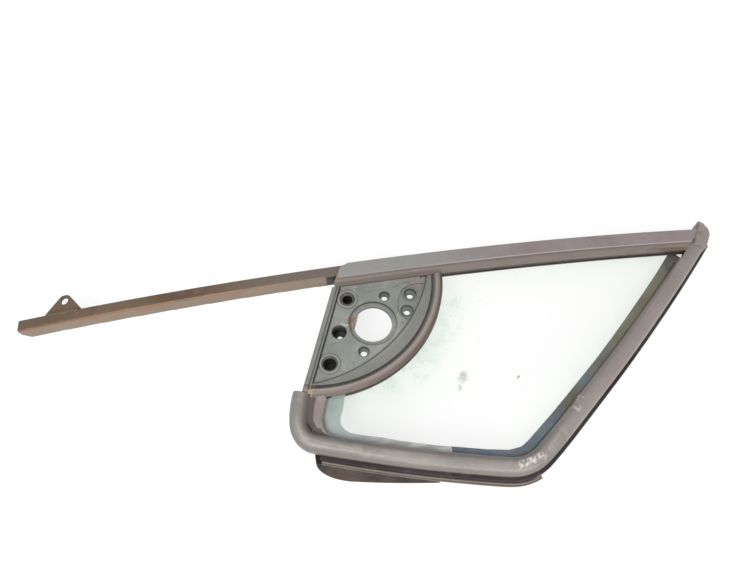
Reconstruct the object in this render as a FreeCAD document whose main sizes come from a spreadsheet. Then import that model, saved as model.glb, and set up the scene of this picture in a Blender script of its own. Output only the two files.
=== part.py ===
# Quarter window module of a vehicle door: curved pane, moulding, mirror plate
# and division channel. The module lies with its outer side up.
# X runs along the channel, Y towards the drop glass, Z is outward (up).
# The origin is on the axis of the mirror opening, at the back of its plate.
import FreeCAD
import Part
import Sketcher
import math
import os
from FreeCAD import Vector

doc = FreeCAD.newDocument("quarter_window")
dims = doc.addObject("Spreadsheet::Sheet", "dims")

SIZES = [
    # common surface: a cylinder whose axis runs parallel to Y below the part
    ("curve_radius", 2620.0),
    ("fit_gap", 0.1),
    ("groove_gap", 0.1),
    # pane
    ("glass_back", 1.0),
    ("glass_thick", 4.0),
    ("glass_top_y", 50.5),
    ("glass_edge_offset", 1.0),
    ("glass_lap", 6.0),
    ("cut_reach", 60.0),
    ("pane_reach_left", 110.0),
    ("pane_reach_right", 400.0),
    ("pane_low_y", -180.0),
    # division channel
    ("channel_front_y", 52.5),
    ("channel_width", 12.0),
    ("channel_top", 16.0),
    ("channel_depth", 18.0),
    ("channel_wall", 1.5),
    ("channel_bend", 2.4),
    ("channel_reach_left", 354.0),
    ("channel_reach_right", 359.0),
    ("channel_end_cut", 9.0),
    # lug welded to the channel
    ("lug_inset", 47.0),
    ("lug_thick", 2.0),
    ("lug_drop", 0.3),
    ("lug_base_half", 19.0),
    ("lug_reach", 20.0),
    ("lug_nose_radius", 5.5),
    ("lug_hole_radius", 3.75),
    ("lug_hole_reach", 13.0),
    ("lug_bead_radius", 0.9),
    # trim on the channel
    ("trim_top", 17.7),
    ("trim_outer_y", 66.0),
    ("trim_ridge_y", 45.8),
    ("trim_foot_y", 45.0),
    ("trim_hook", 2.0),
    ("trim_leg", 2.1),
    ("trim_reach_left", 60.0),
    ("trim_reach_right", 395.0),
    ("trim_start_x", -33.5),
    ("trim_start_top_x", -24.0),
    ("trim_corner_x", -13.6),
    ("mitre_low_x", 357.5),
    ("mitre_low_y", 43.0),
    ("mitre_high_x", 379.5),
    ("mitre_high_y", 66.0),
    # centre line of the moulding: tangent arcs, each with radius and turn
    ("path_x", -76.7),
    ("path_y", -61.5),
    ("path_heading", 248.8),
    ("left_arm_radius", 79.0),
    ("left_arm_turn", 21.2),
    ("left_corner_radius", 20.0),
    ("left_corner_turn", 70.5),
    ("sill_radius", 1300.0),
    ("sill_turn", 7.6),
    ("right_corner_radius", 42.7),
    ("right_corner_turn", 48.1),
    ("right_arm_radius", 3080.0),
    ("right_arm_turn", 6.3),
    # moulding section
    ("mould_half", 8.5),
    ("mould_crown", 12.0),
    ("mould_base", 1.5),
    ("mould_flat_top", 9.8),
    # upper tip of the moulding
    ("tip_top", 12.6),
    ("tip_base", 2.0),
    ("tip_edge", 1.2),
    # perimeter seal
    ("seal_reach", 12.2),
    ("seal_base", 5.0),
    ("seal_top", 1.0),
    ("seal_thick", 3.4),
    ("seal_root", 2.0),
    ("seal_start", 60.0),
    ("seal_end_short", 7.0),
    # ridged lip along the sill
    ("lip_gap", 0.3),
    ("lip_reach", 15.3),
    ("lip_base", 6.9),
    ("lip_top", 2.0),
    ("lip_start", 62.0),
    ("lip_end", 250.0),
    # skirt under the sill
    ("skirt_reach", 14.5),
    ("skirt_wall", 2.5),
    ("skirt_depth", 34.0),
    ("skirt_flare", 6.0),
    ("skirt_start", 50.0),
    ("skirt_end", 168.0),
    ("skirt_left_x", -71.0),
    ("skirt_nose_radius", 22.0),
    ("skirt_low_x", -47.0),
    ("skirt_merge_x", 50.0),
    # surround of the mirror plate: arc band and left member
    ("lip_mid_x", 29.62),
    ("lip_mid_y", -43.16),
    ("lip_outer_radius", 127.7),
    ("lip_width", 9.0),
    ("groove_width", 2.8),
    ("band_width", 15.0),
    ("band_top", 5.8),
    ("groove_pitch", 0.9),
    ("groove_deep", 0.6),
    ("lip_crest", 9.0),
    ("under_lip", 2.2),
    ("member_x", -34.9),
    ("member_dir_deg", 68.8),
    ("member_width", 7.0),
    ("member_step", 4.2),
    ("member_top", 8.6),
    ("member_ledge", 7.0),
    # mirror plate
    ("plate_mid_x", 12.9),
    ("plate_mid_y", -25.3),
    ("plate_rim_extra", 16.8),
    ("plate_thick", 5.0),
    ("opening_radius", 19.0),
    ("opening_flat", 16.8),
    ("opening_ring_radius", 23.8),
    ("opening_ring_deep", 2.6),
    ("boss_rim_radius", 9.9),
    ("boss_rim_high", 0.9),
    ("boss_back_radius", 9.6),
    ("boss_back_deep", 12.0),
    ("boss_upper_x", -21.6),
    ("boss_upper_y", 30.2),
    ("boss_middle_x", -34.3),
    ("boss_middle_y", -4.7),
    ("boss_lower_x", -47.5),
    ("boss_lower_y", -36.6),
    ("boss_bore_deep", 15.0),
    ("middle_bore_radius", 7.3),
    ("middle_through_radius", 2.7),
    ("screw_radius", 3.3),
    ("screw_head_radius", 5.3),
    ("screw_head_deep", 4.4),
    ("screw_back_radius", 6.8),
    ("screw_back_deep", 3.0),
    ("screw_a_x", 16.2),
    ("screw_a_y", 28.3),
    ("screw_b_x", -13.4),
    ("screw_b_y", -28.9),
    ("screw_c_x", 42.6),
    ("screw_c_y", 26.6),
    ("screw_d_x", 36.2),
    ("screw_d_y", 8.8),
    ("cup_radius", 6.4),
    ("cup_rim_radius", 7.6),
    ("pocket_deep", 1.6),
    ("top_strip_high", 2.6),
    ("pin_mark_radius", 1.3),
    ("pin_mark_deep", 0.4),
    # threaded inserts
    ("insert_radius", 7.2),
    ("insert_proud", 0.4),
    ("insert_long", 13.0),
    ("upper_thread_radius", 5.0),
    ("lower_thread_radius", 6.2),
    ("insert_floor", 2.0),
]

row = 1
for alias, number in SIZES:
    dims.set("A%d" % row, alias)
    dims.set("B%d" % row, "%g" % number)
    dims.setAlias("B%d" % row, alias)
    row += 1
doc.recompute()


def val(alias):
    return float(dims.get(alias))


RAD = val("curve_radius")
LIP_RADIUS = val("lip_outer_radius")
GROOVE_OUTER = LIP_RADIUS - val("lip_width")
GROOVE_INNER = GROOVE_OUTER - val("groove_width")
BAND_INNER = GROOVE_INNER - val("band_width")
PANE_ARC = LIP_RADIUS - val("glass_lap")
PLATE_RADIUS = LIP_RADIUS + val("plate_rim_extra")
# unit direction from each arc's centre to its middle point, which stays when the radius changes
ARC_WAY = (0.6, -0.8)
LIP_CENTRE = (val("lip_mid_x") - LIP_RADIUS * ARC_WAY[0], val("lip_mid_y") - LIP_RADIUS * ARC_WAY[1])
PLATE_CENTRE = (
    val("plate_mid_x") - PLATE_RADIUS * ARC_WAY[0],
    val("plate_mid_y") - PLATE_RADIUS * ARC_WAY[1],
)


def sag(x):
    return math.sqrt(RAD * RAD - x * x) - RAD


def turned_arc(a, m, b):
    # an arc through three points, always drawn anticlockwise
    side = (m.x - a.x) * (b.y - m.y) - (m.y - a.y) * (b.x - m.x)
    if side < 0.0:
        return Part.Arc(b, m, a)
    return Part.Arc(a, m, b)


# plan path of the moulding
def path_arcs():
    names = ["left_arm", "left_corner", "sill", "right_corner", "right_arm"]
    arcs = []
    x = val("path_x")
    y = val("path_y")
    head = math.radians(val("path_heading"))
    run = 0.0
    for name in names:
        radius = val(name + "_radius")
        turn = math.radians(val(name + "_turn"))
        cx = x - radius * math.sin(head)
        cy = y + radius * math.cos(head)
        arcs.append((run, cx, cy, radius, head, turn))
        head += turn
        x = cx + radius * math.sin(head)
        y = cy - radius * math.cos(head)
        run += radius * turn
    return arcs, run


ARCS, PATH_LONG = path_arcs()


def path_at(run, offset=0.0):
    pick = ARCS[0]
    for arc in ARCS:
        if run >= arc[0]:
            pick = arc
    start, cx, cy, radius, head, turn = pick
    angle = head + (run - start) / radius
    reach = radius + offset
    return cx + reach * math.sin(angle), cy - reach * math.cos(angle), angle


def path_spine(first, last):
    runs = []
    for arc in ARCS:
        start = arc[0]
        length = arc[3] * arc[5]
        count = max(3, int(math.ceil(math.degrees(arc[5]) / 9.0)))
        if length > 100.0:
            count = 6
        for i in range(count):
            runs.append(start + length * i / count)
    runs.append(PATH_LONG)
    inside = [r for r in runs if first + 1.5 < r < last - 1.5]
    points = []
    for run in [first] + inside + [last]:
        x, y, angle = path_at(run)
        points.append(Vector(x, y, sag(x)))
    curve = Part.BSplineCurve()
    curve.interpolate(points)
    return Part.Wire([curve.toShape()])


def section_wire(run, items):
    x, y, angle = path_at(run)
    side = Vector(math.sin(angle), -math.cos(angle), 0)
    base = Vector(x, y, sag(x))
    up = Vector(0, 0, 1)

    def place(p):
        return base + side * p[0] + up * p[1]

    edges = []
    for item in items:
        if len(item) == 2:
            edges.append(Part.LineSegment(place(item[0]), place(item[1])).toShape())
        else:
            edges.append(Part.Arc(place(item[0]), place(item[1]), place(item[2])).toShape())
    return Part.Wire(edges)


def closed(points):
    return [(points[i], points[(i + 1) % len(points)]) for i in range(len(points))]


def sweep(first, last, start_items, change_at=None, end_items=None):
    spine = path_spine(first, last)
    shell = Part.BRepOffsetAPI.MakePipeShell(spine)
    shell.setBiNormalMode(Vector(0, 0, 1))
    shell.add(section_wire(first, start_items))
    if end_items:
        shell.add(section_wire(change_at, start_items))
        shell.add(section_wire(last, end_items))
    shell.build()
    shell.makeSolid()
    solid = shell.shape()
    if solid.Volume < 0:
        solid.reverse()
    return solid


def plan_prism(edges, low, high):
    face = Part.Face(Part.Wire(Part.sortEdges(edges)[0]))
    face.translate(Vector(0, 0, low))
    return face.extrude(Vector(0, 0, high - low))


def polygon_edges(points):
    ring = [Vector(p[0], p[1], 0) for p in points]
    count = len(ring)
    return [Part.LineSegment(ring[i], ring[(i + 1) % count]).toShape() for i in range(count)]


def curved_slab(low, high, first_y, last_y, left, right):
    pts = [
        Vector(0, first_y, low),
        Vector(0, last_y, low),
        Vector(0, last_y, high),
        Vector(0, first_y, high),
        Vector(0, first_y, low),
    ]
    face = Part.Face(Part.makePolygon(pts))
    axis = Vector(0, 0, -RAD)
    turn = Vector(0, 1, 0)
    face.rotate(axis, turn, -math.degrees(left / RAD))
    return face.revolve(axis, turn, math.degrees((left + right) / RAD))


def outline_geometry(offset, top_y):
    # pane outline: the moulding path set over by offset, closed at top_y
    geo = []
    last = None
    for start, cx, cy, radius, head, turn in ARCS:
        reach = radius + offset
        a = Vector(cx + reach * math.sin(head), cy - reach * math.cos(head), 0)
        mid = head + turn / 2.0
        m = Vector(cx + reach * math.sin(mid), cy - reach * math.cos(mid), 0)
        end = head + turn
        if start == ARCS[-1][0]:
            end = math.pi - math.acos((top_y - cy) / reach)
            if end < head:
                end += 2.0 * math.pi
            mid = (head + end) / 2.0
            m = Vector(cx + reach * math.sin(mid), cy - reach * math.cos(mid), 0)
        b = Vector(cx + reach * math.sin(end), cy - reach * math.cos(end), 0)
        if geo:
            a = last
        geo.append(turned_arc(a, m, b))
        last = b
    x, y, angle = path_at(0.0, offset)
    first = Vector(x, y, 0)
    geo.append(Part.LineSegment(last, Vector(first.x, last.y, 0)))
    geo.append(Part.LineSegment(Vector(first.x, last.y, 0), first))
    return geo


# sketch helpers
def origin_plane(body, role):
    for feature in body.Origin.OriginFeatures:
        if feature.Role == role:
            return feature
    raise RuntimeError("no plane " + role)


def new_body(name):
    body = doc.addObject("PartDesign::Body", name)
    body.Label = name
    return body


def new_sketch(body, role, name, rise=None):
    sketch = body.newObject("Sketcher::SketchObject", name)
    sketch.AttachmentSupport = [(origin_plane(body, role), "")]
    sketch.MapMode = "FlatFace"
    if rise:
        sketch.setExpression("AttachmentOffset.Base.z", rise)
    return sketch


def join_ends(sketch, first, count):
    used = set()
    for i in range(count):
        a = first + i
        b = first + (i + 1) % count
        ga = sketch.Geometry[a]
        gb = sketch.Geometry[b]
        best = None
        for ea, pa in ((1, ga.StartPoint), (2, ga.EndPoint)):
            for eb, pb in ((1, gb.StartPoint), (2, gb.EndPoint)):
                if (a, ea) in used or (b, eb) in used:
                    continue
                gap = pa.distanceToPoint(pb)
                if best is None or gap < best[0]:
                    best = (gap, ea, eb)
        sketch.addConstraint(Sketcher.Constraint("Coincident", a, best[1], b, best[2]))
        used.add((a, best[1]))
        used.add((b, best[2]))


def add_ring(sketch, geometry):
    first = len(sketch.Geometry)
    for item in geometry:
        sketch.addGeometry(item)
    join_ends(sketch, first, len(geometry))


def rounded(points):
    # points are (u, v) or (u, v, radius); returns lines and tangent arcs
    count = len(points)
    corners = []
    for i in range(count):
        p = Vector(points[i][0], points[i][1], 0)
        radius = points[i][2] if len(points[i]) > 2 else 0.0
        before = Vector(points[i - 1][0], points[i - 1][1], 0)
        after = Vector(points[(i + 1) % count][0], points[(i + 1) % count][1], 0)
        if radius <= 0.0:
            corners.append((p, None, p))
            continue
        d1 = (before - p).normalize()
        d2 = (after - p).normalize()
        half = math.acos(max(-1.0, min(1.0, d1.dot(d2)))) / 2.0
        cut = radius / math.tan(half)
        centre = p + (d1 + d2).normalize() * (radius / math.sin(half))
        mid = centre + (p - centre).normalize() * radius
        corners.append((p + d1 * cut, mid, p + d2 * cut))
    geometry = []
    for i in range(count):
        a, mid, b = corners[i]
        if mid is not None:
            geometry.append(turned_arc(a, mid, b))
        nxt = corners[(i + 1) % count][0]
        if b.distanceToPoint(nxt) > 1e-6:
            geometry.append(Part.LineSegment(b, nxt))
    return geometry


def add_circle(sketch, x_name, y_name, r_name):
    x = val(x_name) if x_name else 0.0
    y = val(y_name) if y_name else 0.0
    index = sketch.addGeometry(Part.Circle(Vector(x, y, 0), Vector(0, 0, 1), val(r_name)))
    hold = sketch.addConstraint(Sketcher.Constraint("Radius", index, val(r_name)))
    sketch.setExpression("Constraints[%d]" % hold, "dims." + r_name)
    if x_name:
        hold = sketch.addConstraint(Sketcher.Constraint("DistanceX", index, 3, x))
        sketch.setExpression("Constraints[%d]" % hold, "dims." + x_name)
        hold = sketch.addConstraint(Sketcher.Constraint("DistanceY", index, 3, y))
        sketch.setExpression("Constraints[%d]" % hold, "dims." + y_name)
    else:
        sketch.addConstraint(Sketcher.Constraint("Coincident", index, 3, -1, 1))


def pad(body, sketch, name, length, down=False):
    feature = body.newObject("PartDesign::Pad", name)
    feature.Profile = sketch
    feature.setExpression("Length", length)
    feature.Reversed = down
    doc.recompute()
    return feature


def pocket(body, sketch, name, length=None, up=False):
    before = body.Shape.Volume
    feature = body.newObject("PartDesign::Pocket", name)
    feature.Profile = sketch
    if length is None:
        feature.SideType = "Symmetric"
        feature.Type = "ThroughAll"
    else:
        feature.setExpression("Length", length)
        feature.Reversed = up
    doc.recompute()
    if not body.Shape.Volume < before - 1e-6:
        raise RuntimeError("nothing cut by " + name)
    return feature


def swing(body, sketch, name, axis, right, left):
    feature = body.newObject("PartDesign::Revolution", name)
    feature.Profile = sketch
    feature.ReferenceAxis = (sketch, [axis])
    feature.Type = "TwoAngles"
    feature.setExpression("Angle", right)
    feature.setExpression("Angle2", left)
    doc.recompute()
    return feature


def add_swing_axis(sketch):
    a = Vector(0, -RAD, 0)
    b = Vector(60, -RAD, 0)
    index = sketch.addGeometry(Part.LineSegment(a, b), True)
    sketch.addConstraint(Sketcher.Constraint("Horizontal", index))
    hold = sketch.addConstraint(Sketcher.Constraint("DistanceY", index, 1, -1, 1, RAD))
    sketch.setExpression("Constraints[%d]" % hold, "dims.curve_radius")


def arc_angle(alias):
    return "dims.%s / dims.curve_radius * 180 / pi" % alias


# channel
def make_channel():
    body = new_body("division_channel")
    front = val("channel_front_y")
    back = front + val("channel_width")
    top = val("channel_top")
    low = top - val("channel_depth")
    wall = val("channel_wall")
    bend = val("channel_bend")
    inner = bend - wall
    sketch = new_sketch(body, "YZ_Plane", "channel_section")
    add_ring(sketch, rounded([
        (back, top),
        (front, top, bend),
        (front, low, bend),
        (back, low),
        (back, low + wall),
        (front + wall, low + wall, inner),
        (front + wall, top - wall, inner),
        (back, top - wall),
    ]))
    add_swing_axis(sketch)
    swing(body, sketch, "channel_bar", "Axis0",
          arc_angle("channel_reach_right"), arc_angle("channel_reach_left"))
    left = -RAD * math.sin(val("channel_reach_left") / RAD)
    cut = val("channel_end_cut")
    floor = low + sag(left)
    sketch = new_sketch(body, "XZ_Plane", "end_cut_outline")
    add_ring(sketch, rounded([
        (left - cut, floor - cut),
        (left + cut, floor - cut),
        (left + cut, floor - 0.2 * cut),
        (left - 0.5, floor + cut),
        (left - cut, floor + cut),
    ]))
    pocket(body, sketch, "end_cut")
    return body


# lug
def make_lug():
    body = new_body("channel_lug")
    half = val("lug_base_half")
    reach = val("lug_reach")
    nose = val("lug_nose_radius")
    sketch = new_sketch(body, "XY_Plane", "lug_outline")
    add_ring(sketch, rounded([
        (-half, 0.0),
        (half, 0.0),
        (half - 1.5, 2.4, 2.0),
        (3.6, reach, nose),
        (-3.6, reach, nose),
        (-half + 1.5, 2.4, 2.0),
    ]))
    pad(body, sketch, "lug_sheet", "dims.lug_thick", down=True)
    bead = val("lug_bead_radius")
    drop = val("lug_drop")
    sketch = new_sketch(body, "YZ_Plane", "bead_section")
    add_ring(sketch, rounded([
        (0.0, -0.4),
        (2.0, -0.4),
        (0.6, drop + bead),
        (-0.8, drop + bead, 0.3),
        (-1.6, drop + 0.05),
        (0.0, drop + 0.05),
    ]))
    feature = body.newObject("PartDesign::Pad", "weld_bead")
    feature.Profile = sketch
    feature.SideType = "Symmetric"
    feature.setExpression("Length", "dims.lug_base_half * 2 - 6")
    doc.recompute()
    sketch = new_sketch(body, "XY_Plane", "lug_hole_outline")
    index = sketch.addGeometry(Part.Circle(
        Vector(0, val("lug_hole_reach"), 0), Vector(0, 0, 1), val("lug_hole_radius")))
    hold = sketch.addConstraint(Sketcher.Constraint("Radius", index, val("lug_hole_radius")))
    sketch.setExpression("Constraints[%d]" % hold, "dims.lug_hole_radius")
    pocket(body, sketch, "lug_hole")
    x = val("lug_inset") - val("channel_reach_left")
    angle = math.asin(x / RAD)
    level = val("channel_top") - val("lug_drop")
    lift = Vector((RAD + level) * math.sin(angle), 0, (RAD + level) * math.cos(angle) - RAD)
    lift.y = val("channel_front_y") + val("channel_width") + 0.05
    body.Placement = FreeCAD.Placement(
        lift, FreeCAD.Rotation(Vector(0, 1, 0), math.degrees(angle)))
    return body


# pane
def make_pane():
    body = new_body("glass_pane")
    low = val("glass_back")
    high = low + val("glass_thick")
    sketch = new_sketch(body, "YZ_Plane", "pane_section")
    add_ring(sketch, rounded([
        (val("pane_low_y"), low),
        (val("glass_top_y"), low),
        (val("glass_top_y"), high),
        (val("pane_low_y"), high),
    ]))
    add_swing_axis(sketch)
    swing(body, sketch, "pane_blank", "Axis0",
          arc_angle("pane_reach_right"), arc_angle("pane_reach_left"))
    sketch = new_sketch(body, "XY_Plane", "pane_outline")
    add_ring(sketch, outline_geometry(val("glass_edge_offset"), val("glass_top_y") + 4.0))
    add_ring(sketch, rounded([(-300, -300), (600, -300), (600, 200), (-300, 200)]))
    pocket(body, sketch, "pane_trimmed")
    sketch = new_sketch(body, "XY_Plane", "pane_arc")
    index = sketch.addGeometry(Part.Circle(
        Vector(LIP_CENTRE[0], LIP_CENTRE[1], 0), Vector(0, 0, 1), PANE_ARC))
    hold = sketch.addConstraint(Sketcher.Constraint("Radius", index, PANE_ARC))
    sketch.setExpression("Constraints[%d]" % hold, "dims.lip_outer_radius - dims.glass_lap")
    pocket(body, sketch, "pane_arc_cut")
    return body


def glass_room():
    gap = val("groove_gap")
    low = val("glass_back")
    high = low + val("glass_thick")
    slab = curved_slab(low - gap, high + gap, val("pane_low_y"), val("glass_top_y") + gap,
                       val("pane_reach_left"), val("pane_reach_right"))
    ring = [g.toShape() for g in
            outline_geometry(val("glass_edge_offset") + gap, val("glass_top_y") + 4.0)]
    prism = plan_prism(ring, -120.0, 60.0)
    room = slab.common(prism)
    disc = Part.makeCylinder(PANE_ARC - gap, 300.0,
                             Vector(LIP_CENTRE[0], LIP_CENTRE[1], -150.0))
    return room.cut(disc)


# trim
def mitre_line(shift, low_y, high_y):
    x1 = val("mitre_low_x")
    y1 = val("mitre_low_y")
    x2 = val("mitre_high_x")
    y2 = val("mitre_high_y")
    slope = (x2 - x1) / (y2 - y1)
    return [(x1 + slope * (low_y - y1) + shift, low_y),
            (x1 + slope * (high_y - y1) + shift, high_y)]


def make_trim():
    body = new_body("division_trim")
    gap = val("fit_gap")
    top = val("trim_top")
    outer = val("trim_outer_y")
    foot = val("trim_foot_y")
    low = val("glass_back") - val("groove_gap")
    high = val("glass_back") + val("glass_thick") + val("groove_gap")
    stop = val("glass_top_y") + val("groove_gap")
    web = val("channel_front_y") - gap
    flange = val("channel_top") + gap
    edge = val("channel_front_y") + val("channel_width") + gap
    sketch = new_sketch(body, "YZ_Plane", "trim_section")
    add_ring(sketch, rounded([
        (outer, flange - val("trim_hook")),
        (outer, top - 0.5),
        (outer - 0.5, top),
        (val("trim_ridge_y") + 1.9, top),
        (val("trim_ridge_y") + 1.0, top - 0.2),
        (val("trim_ridge_y") + 0.3, top - 0.7),
        (val("trim_ridge_y") - 0.2, top - 1.5),
        (val("trim_ridge_y") - 0.5, top - 2.6),
        (foot, high),
        (stop, high),
        (stop, low),
        (foot, low),
        (foot, low - val("trim_leg") + 0.5),
        (foot + 0.5, low - val("trim_leg")),
        (web, low - val("trim_leg")),
        (web, flange),
        (edge, flange),
        (edge, flange - val("trim_hook")),
    ]))
    add_swing_axis(sketch)
    swing(body, sketch, "trim_bar", "Axis0",
          arc_angle("trim_reach_right"), arc_angle("trim_reach_left"))
    x1 = val("trim_start_x")
    x2 = val("trim_start_top_x")
    x3 = val("trim_corner_x")
    sketch = new_sketch(body, "XY_Plane", "trim_start_outline")
    add_ring(sketch, rounded([
        (-90, 40),
        (x1 - 1.6, 40),
        (x2, 62.5),
        (x3, outer + 0.6),
        (x3 + 3, 90),
        (-90, 90),
    ]))
    pocket(body, sketch, "trim_start")
    line = mitre_line(0.0, 35.0, 90.0)
    sketch = new_sketch(body, "XY_Plane", "mitre_outline")
    add_ring(sketch, rounded([line[0], (500, 35), (500, 90), line[1]]))
    pocket(body, sketch, "mitre")
    return body


# moulding
def make_moulding(room):
    half = val("mould_half")
    base = -val("mould_base")
    crown = val("mould_crown")
    flat = val("mould_flat_top")
    edge = val("glass_back") + val("glass_thick") - 0.2
    round_items = [
        ((-half, edge), (-half + 2.0, crown - 3.0), (-half + 5.2, crown - 0.6)),
        ((-half + 5.2, crown - 0.6), (0.2, crown), (half - 4.4, crown - 1.0)),
        ((half - 4.4, crown - 1.0), (half - 1.1, crown - 4.0), (half, edge)),
        ((half, edge), (half, base)),
        ((half, base), (-half + 2.0, base)),
        ((-half + 2.0, base), (-half, edge)),
    ]
    flat_items = [
        ((-half, edge), (-half + 0.4, flat - 2.4), (-half + 1.8, flat - 0.6)),
        ((-half + 1.8, flat - 0.6), (0.0, flat), (half - 2.6, flat - 0.4)),
        ((half - 2.6, flat - 0.4), (half - 0.6, flat - 2.0), (half, edge)),
        ((half, edge), (half, base)),
        ((half, base), (-half + 2.0, base)),
        ((-half + 2.0, base), (-half, edge)),
    ]
    bend_end = ARCS[4][0]
    solid = sweep(0.0, PATH_LONG - 17.0, round_items, bend_end, flat_items)
    tip_x = val("mitre_high_x")
    tip_y = val("mitre_high_y")
    tip_edges = rounded([
        (tip_x - 0.2, tip_y - 1.7),
        (tip_x + 7.4, tip_y + 11.6, 2.0),
        (tip_x + 11.8, tip_y + 15.4, 3.0),
        (tip_x + 16.6, tip_y + 11.6, 3.0),
        (tip_x + 19.4, tip_y + 3.0, 4.0),
        (tip_x + 17.0, tip_y - 5.0, 3.0),
        (tip_x + 4.4, tip_y - 21.0),
        (tip_x - 8.0, tip_y - 14.0),
    ])
    prism = plan_prism([g.toShape() for g in tip_edges], -120.0, 60.0)
    slab = curved_slab(val("tip_base"), val("tip_top"), 20.0, 110.0, 0.0, 430.0)
    tip = prism.common(slab)
    tops = []
    for item in tip.Edges:
        box = item.BoundBox
        centre = item.CenterOfMass
        reach = math.hypot(centre.x, centre.z + RAD) - RAD
        if abs(reach - val("tip_top")) < 0.3 and centre.x > tip_x - 2.0:
            if centre.y > tip_y - 12.0:
                tops.append(item)
    if tops:
        tip = tip.makeChamfer(val("tip_edge"), tops)
    solid = solid.fuse(tip)
    reach = val("cut_reach")
    line = mitre_line(val("fit_gap"), val("trim_foot_y") - 9.0, val("mitre_high_y") - 0.5)
    keep_out = plan_prism(polygon_edges([
        line[0],
        line[1],
        (line[1][0] - 0.5 * reach, line[1][1] + reach),
        (line[0][0] - 2.0 * reach, line[1][1] + reach),
        (line[0][0] - 2.0 * reach, line[0][1]),
    ]), -2.0 * reach, reach)
    solid = solid.cut(keep_out)
    solid = solid.cut(room)
    feature = doc.addObject("Part::Feature", "surround_moulding")
    feature.Label = "surround_moulding"
    feature.Shape = solid.removeSplitter()
    return feature


# seal
def make_seal():
    gap = val("fit_gap")
    half = val("mould_half") + gap
    reach = val("seal_reach")
    low = -val("seal_base")
    top = val("seal_top")
    under = -val("mould_base") - gap
    items = closed([
        (half, top),
        (reach - 0.9, top - 0.4),
        (reach, top - 1.8),
        (reach, low),
        (val("seal_root"), low),
        (val("seal_root"), under),
        (half, under),
    ])
    feature = doc.addObject("Part::Feature", "perimeter_seal")
    feature.Label = "perimeter_seal"
    feature.Shape = sweep(val("seal_start"), PATH_LONG - val("seal_end_short"), items)
    return feature


# lip
def make_lip():
    root = val("seal_reach") + val("lip_gap")
    reach = val("lip_reach")
    top = -val("lip_top")
    low = -val("lip_base")
    items = closed([
        (root, top),
        (root + 0.8, top - 0.1),
        (root + 0.9, top - 0.9),
        (root + 1.7, top - 1.1),
        (root + 1.8, top - 2.0),
        (reach - 0.2, top - 2.3),
        (reach, low),
        (root, low),
    ])
    feature = doc.addObject("Part::Feature", "sill_lip")
    feature.Label = "sill_lip"
    feature.Shape = sweep(val("lip_start"), val("lip_end"), items)
    return feature


# skirt
def make_skirt():
    gap = val("fit_gap")
    reach = val("skirt_reach")
    wall = val("skirt_wall")
    deep = -val("skirt_depth")
    under_seal = -val("seal_base") - gap
    under_lip = -val("lip_base") - gap
    items = closed([
        (3.0, under_seal),
        (val("seal_reach"), under_seal),
        (val("seal_reach"), under_lip),
        (reach, under_lip),
        (reach + val("skirt_flare"), deep),
        (reach + val("skirt_flare") - wall, deep),
        (reach - wall, under_seal - wall),
        (3.0, under_seal - wall),
    ])
    solid = sweep(val("skirt_start"), val("skirt_end"), items)
    left = val("skirt_left_x")
    low_x = val("skirt_low_x")
    merge = val("skirt_merge_x")
    nose = val("skirt_nose_radius")
    side = rounded([
        (left, 20.0),
        (left, deep, nose),
        (low_x + 4.0, deep, 6.0),
        (merge, under_seal - wall),
        (merge + 14.0, under_seal - wall),
        (merge + 14.0, 20.0),
    ])
    edges = [g.toShape() for g in side]
    face = Part.Face(Part.Wire(Part.sortEdges(edges)[0]))
    face.rotate(Vector(0, 0, 0), Vector(1, 0, 0), 90.0)
    keep = face.extrude(Vector(0, -260.0, 0))
    feature = doc.addObject("Part::Feature", "lower_skirt")
    feature.Label = "lower_skirt"
    feature.Shape = solid.common(keep)
    return feature


# surround
def member_points(offset_from, offset_to, top_y, low_y):
    angle = math.radians(val("member_dir_deg"))
    ux = math.cos(angle)
    uy = math.sin(angle)
    x0 = val("member_x")
    y0 = val("trim_foot_y") - val("fit_gap")

    def at(offset, y):
        run = (y - y0 + offset * ux) / uy
        return (x0 + ux * run + uy * offset, y0 + uy * run - ux * offset)

    return [at(offset_from, low_y), at(offset_to, low_y), at(offset_to, top_y), at(offset_from, top_y)]


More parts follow.
